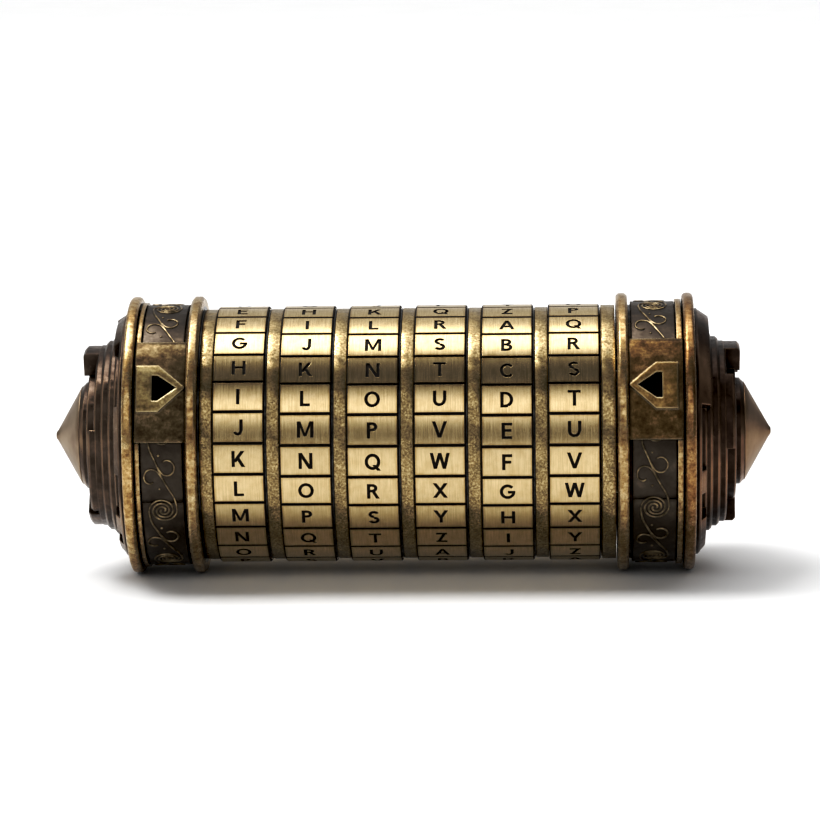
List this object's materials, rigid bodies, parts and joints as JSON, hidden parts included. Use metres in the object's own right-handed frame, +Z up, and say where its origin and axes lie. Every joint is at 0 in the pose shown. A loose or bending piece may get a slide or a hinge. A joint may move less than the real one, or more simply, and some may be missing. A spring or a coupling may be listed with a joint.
{
  "type": "cryptex",
  "caption": "Combination puzzle cylinder: turning letter dials on a slotted sleeve, and a pinned vault tube that slides out at the end.",
  "frame": {"origin": "on the floor under the middle of the cylinder, at the bottom of its four rims", "axes": "+X along the cylinder from the case's left end to the vault's right end, -Y the side that the index line faces, +Z up"},
  "size_m": [0.13, 0.0502, 0.0502],
  "materials": {
    "antique_brass": "antiqued, mottled patina with bright worn edges",
    "aged_brass": "antiqued, fine speckled grey-brown patina",
    "brushed_brass": "brushed round the ring, aged gold",
    "scroll_bronze": "near-black patina with scrollwork rubbed bright",
    "dark_bronze": "dark brown bronze patina with coppery worn edges",
    "taupe_bronze": "satin taupe bronze",
    "steel": "plain turned steel",
    "blackened_steel": "blackened steel"
  },
  "bodies": {
    "case": {"sleeve": "aged_brass", "sleeve_screws": "steel", "retaining_ring": "aged_brass", "retaining_screws": "blackened_steel", "wave_washer": "steel", "left_collar": "antique_brass", "left_scroll_band": "scroll_bronze", "left_index_plate": "antique_brass", "left_cap_rim": "antique_brass", "left_end_cap": "dark_bronze", "left_cone": "taupe_bronze", "spacer_washer_1": "steel", "spacer_washer_2": "steel", "spacer_washer_3": "steel", "spacer_washer_4": "steel", "spacer_washer_5": "steel", "spacer_washer_6": "steel"},
    "vault": {"vault_tube": "brushed_brass", "vault_pins": "steel", "vault_screws": "steel", "right_collar": "antique_brass", "right_scroll_band": "scroll_bronze", "right_index_plate": "antique_brass", "right_cap_rim": "antique_brass", "right_end_cap": "dark_bronze", "right_cone": "taupe_bronze"},
    "dial_1": {"letter_ring_1": "brushed_brass", "lock_ring_1": "aged_brass"},
    "dial_2": {"letter_ring_2": "brushed_brass", "lock_ring_2": "aged_brass"},
    "dial_3": {"letter_ring_3": "brushed_brass", "lock_ring_3": "aged_brass"},
    "dial_4": {"letter_ring_4": "brushed_brass", "lock_ring_4": "aged_brass"},
    "dial_5": {"letter_ring_5": "brushed_brass", "lock_ring_5": "aged_brass"},
    "dial_6": {"letter_ring_6": "brushed_brass", "lock_ring_6": "aged_brass"}
  },
  "joints": [
    {"name": "dial_1_turn", "type": "hinge", "parent": "case", "child": "dial_1", "pos_m": [-0.0315, 0, 0.0251], "axis": [1, 0, 0], "continuous": true},
    {"name": "dial_2_turn", "type": "hinge", "parent": "case", "child": "dial_2", "pos_m": [-0.01958, 0, 0.0251], "axis": [1, 0, 0], "continuous": true},
    {"name": "dial_3_turn", "type": "hinge", "parent": "case", "child": "dial_3", "pos_m": [-0.00766, 0, 0.0251], "axis": [1, 0, 0], "continuous": true},
    {"name": "dial_4_turn", "type": "hinge", "parent": "case", "child": "dial_4", "pos_m": [0.00426, 0, 0.0251], "axis": [1, 0, 0], "continuous": true},
    {"name": "dial_5_turn", "type": "hinge", "parent": "case", "child": "dial_5", "pos_m": [0.01618, 0, 0.0251], "axis": [1, 0, 0], "continuous": true},
    {"name": "dial_6_turn", "type": "hinge", "parent": "case", "child": "dial_6", "pos_m": [0.0281, 0, 0.0251], "axis": [1, 0, 0], "continuous": true},
    {"name": "vault_slide", "type": "slide", "parent": "case", "child": "vault", "axis": [1, 0, 0], "range_m": [0, 0.085]}
  ]
}
